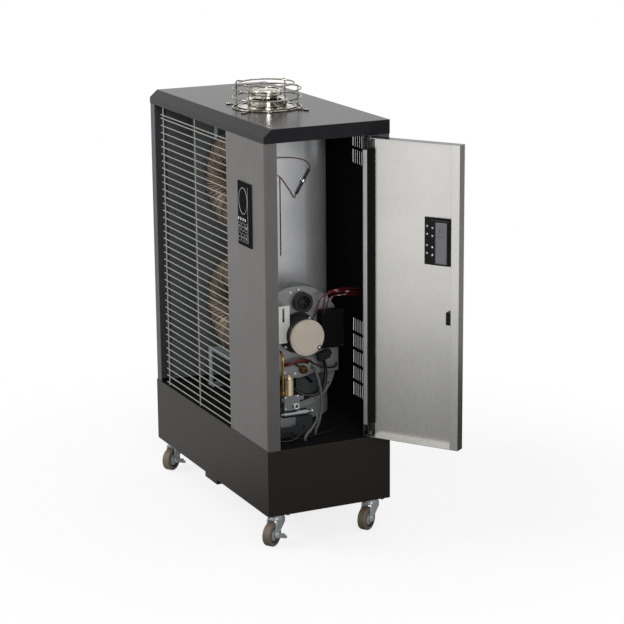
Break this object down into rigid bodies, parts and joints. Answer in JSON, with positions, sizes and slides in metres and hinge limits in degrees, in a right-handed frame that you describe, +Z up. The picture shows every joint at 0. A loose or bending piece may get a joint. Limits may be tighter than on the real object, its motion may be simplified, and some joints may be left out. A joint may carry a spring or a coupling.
{
  "type": "infrared diesel heater",
  "caption": "Tall infrared diesel heater on swivel casters: wire front grille over looped heat tubes, open machine door, fuel tank base and a guarded flue cowl on top.",
  "frame": {"origin": "on the floor, under the middle of the cabinet", "axes": "+X towards the machine door's side, +Y to the rear panel, +Z up"},
  "size_m": [1.0403, 0.4828, 1.1983],
  "materials": {
    "cabinet_paint": "satin dark grey powder coat",
    "cover_paint": "semi-gloss black powder coat",
    "tank_paint": "satin black-brown powder coat",
    "column_paint": "satin metallic grey",
    "rear_paint": "matt black",
    "tank_steel": "mill finish",
    "door_steel": "brushed along its height",
    "zinc_steel": "bright zinc plate",
    "heat_steel": "heat-tinted",
    "reflector_sheet": "fine embossed grain",
    "shield_sheet": "aluminised sheet",
    "chrome_plate": "polished",
    "grille_wire": "light grey coat",
    "burner_paint": "satin grey",
    "cast_aluminium": "die cast",
    "black_plastic": "moulded grain",
    "gloss_panel": "gloss",
    "cream_plastic": "moulded",
    "white_enamel": "white enamel",
    "motor_paint": "black enamel",
    "brass_tube": "drawn",
    "pump_steel": "machined",
    "filter_shell": "spun",
    "hose_rubber": "braided",
    "wire_sleeve": "insulated wire",
    "seal_foam": "closed-cell foam",
    "caster_tyre": "grey-brown tread",
    "grey_plastic": "moulded grey"
  },
  "bodies": {
    "cabinet": {"tank_skirt": "tank_paint", "drain_guard": "tank_paint", "fuel_tank": "tank_steel", "deck_plate": "rear_paint", "left_panel": "cabinet_paint", "rear_panel": "rear_paint", "rear_post": "cabinet_paint", "front_column": "column_paint", "top_cover": "cover_paint", "wire_grille": "grille_wire", "reflectors": "reflector_sheet", "partition": "shield_sheet", "heat_tubes": "heat_steel", "tube_bends": "heat_steel", "tube_brackets": "zinc_steel", "flue_pipe": "heat_steel", "flue_base": "chrome_plate", "flue_cowl": "chrome_plate", "flue_guard": "chrome_plate", "burner_flange": "zinc_steel", "burner_drum": "burner_paint", "fan_housing": "cast_aluminium", "fan_motor": "motor_paint", "motor_cap": "cream_plastic", "air_port": "black_plastic", "scale_plate": "white_enamel", "ignition_box": "black_plastic", "stay_bracket": "zinc_steel", "fuel_pump": "pump_steel", "pump_coil": "cream_plastic", "nozzle_line": "brass_tube", "fuel_filter": "filter_shell", "fuel_hoses": "hose_rubber", "air_duct": "burner_paint", "wire_harness": "wire_sleeve", "overheat_sensor": "wire_sleeve", "control_panel": "gloss_panel", "cable_gland": "black_plastic", "hinge_brackets": "zinc_steel", "caster_plates": "zinc_steel", "screws": "zinc_steel"},
    "door": {"door_panel": "door_steel", "door_seal": "seal_foam", "hinge_stile": "door_steel", "handle_cup": "black_plastic", "handle_cover": "grey_plastic", "door_catch": "black_plastic"},
    "paddle": {"handle_paddle": "black_plastic"},
    "cap": {"fuel_cap": "black_plastic"},
    "fan": {"fan_impeller": "zinc_steel"},
    "fork_front_right": {"caster_fork_front_right": "zinc_steel"},
    "wheel_front_right": {"caster_wheel_front_right": "caster_tyre"},
    "fork_front_left": {"caster_fork_front_left": "zinc_steel"},
    "wheel_front_left": {"caster_wheel_front_left": "caster_tyre"},
    "fork_rear_right": {"caster_fork_rear_right": "zinc_steel"},
    "wheel_rear_right": {"caster_wheel_rear_right": "caster_tyre"},
    "fork_rear_left": {"caster_fork_rear_left": "zinc_steel"},
    "wheel_rear_left": {"caster_wheel_rear_left": "caster_tyre"},
    "pedal_front_right": {"brake_pedal_front_right": "zinc_steel"},
    "pedal_front_left": {"brake_pedal_front_left": "zinc_steel"}
  },
  "joints": [
    {"name": "door_hinge", "type": "hinge", "parent": "cabinet", "child": "door", "pos_m": [0.387, 0.128, 0.68], "axis": [0, 0, 1], "range_deg": [-124.5, 7]},
    {"name": "paddle_hinge", "type": "hinge", "parent": "door", "child": "paddle", "pos_m": [0.54423, 0.23909, 0.826], "axis": [0, 0, 1], "range_deg": [0, 35], "stiffness_Nm_per_rad": 0.25, "springref_deg": -11.46},
    {"name": "cap_turn", "type": "hinge", "parent": "cabinet", "child": "cap", "pos_m": [-0.409, 0.06, 0.211], "axis": [1, 0, 0], "range_deg": [0, 90]},
    {"name": "fan_spin", "type": "hinge", "parent": "cabinet", "child": "fan", "pos_m": [0.26, -0.034, 0.552], "axis": [1, 0, 0], "continuous": true},
    {"name": "swivel_front_right", "type": "hinge", "parent": "cabinet", "child": "fork_front_right", "pos_m": [0.36, -0.142, 0.072], "axis": [0, 0, 1], "continuous": true},
    {"name": "axle_front_right", "type": "hinge", "parent": "fork_front_right", "child": "wheel_front_right", "pos_m": [0.37473, -0.16343, 0.032], "axis": [0.8241, 0.5664, 0], "continuous": true},
    {"name": "swivel_front_left", "type": "hinge", "parent": "cabinet", "child": "fork_front_left", "pos_m": [-0.36, -0.142, 0.072], "axis": [0, 0, 1], "continuous": true},
    {"name": "axle_front_left", "type": "hinge", "parent": "fork_front_left", "child": "wheel_front_left", "pos_m": [-0.34527, -0.16343, 0.032], "axis": [0.8241, 0.5664, 0], "continuous": true},
    {"name": "swivel_rear_right", "type": "hinge", "parent": "cabinet", "child": "fork_rear_right", "pos_m": [0.36, 0.142, 0.072], "axis": [0, 0, 1], "continuous": true},
    {"name": "axle_rear_right", "type": "hinge", "parent": "fork_rear_right", "child": "wheel_rear_right", "pos_m": [0.37473, 0.12057, 0.032], "axis": [0.8241, 0.5664, 0], "continuous": true},
    {"name": "swivel_rear_left", "type": "hinge", "parent": "cabinet", "child": "fork_rear_left", "pos_m": [-0.36, 0.142, 0.072], "axis": [0, 0, 1], "continuous": true},
    {"name": "axle_rear_left", "type": "hinge", "parent": "fork_rear_left", "child": "wheel_rear_left", "pos_m": [-0.34527, 0.12057, 0.032], "axis": [0.8241, 0.5664, 0], "continuous": true},
    {"name": "brake_front_right", "type": "hinge", "parent": "fork_front_right", "child": "pedal_front_right", "pos_m": [0.37473, -0.16343, 0.032], "axis": [0.8241, 0.5664, 0], "range_deg": [0, 25]},
    {"name": "brake_front_left", "type": "hinge", "parent": "fork_front_left", "child": "pedal_front_left", "pos_m": [-0.34527, -0.16343, 0.032], "axis": [0.8241, 0.5664, 0], "range_deg": [0, 25]}
  ]
}
